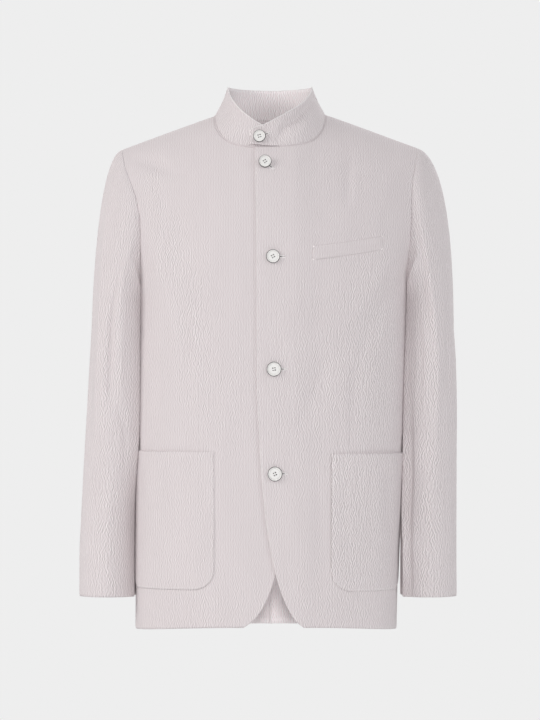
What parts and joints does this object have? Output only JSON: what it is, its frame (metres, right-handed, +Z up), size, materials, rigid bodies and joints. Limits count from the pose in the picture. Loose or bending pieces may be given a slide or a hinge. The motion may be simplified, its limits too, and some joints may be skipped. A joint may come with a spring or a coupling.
{
  "type": "suit jacket",
  "caption": "Hip-length tailored jacket with a stand collar, set-in sleeves, patch pockets, a breast welt and a buttoned front with a cutaway hem, worn on the upper body.",
  "frame": {"origin": "midway between the two points where shoulder seam and neckline meet, where the wearer's shoulders carry the jacket", "axes": "+Z up, front towards -Y, +X towards the wearer's left"},
  "size_m": [0.5461, 0.2691, 0.7835],
  "materials": {
    "cloth": "matte puckered cotton with fine pale pink and off-white stripes",
    "button": "white, satin, with a raised rim"
  },
  "bodies": {
    "root": {"front_left": "cloth", "front_right": "cloth", "back_left": "cloth", "back_right": "cloth", "top_sleeve_left": "cloth", "top_sleeve_right": "cloth", "under_sleeve_left": "cloth", "under_sleeve_right": "cloth", "collar": "cloth", "pocket_left": "cloth", "pocket_right": "cloth", "breast_welt": "cloth", "button_1": "button", "button_2": "button", "button_3": "button", "button_4": "button", "button_5": "button"}
  },
  "joints": []
}
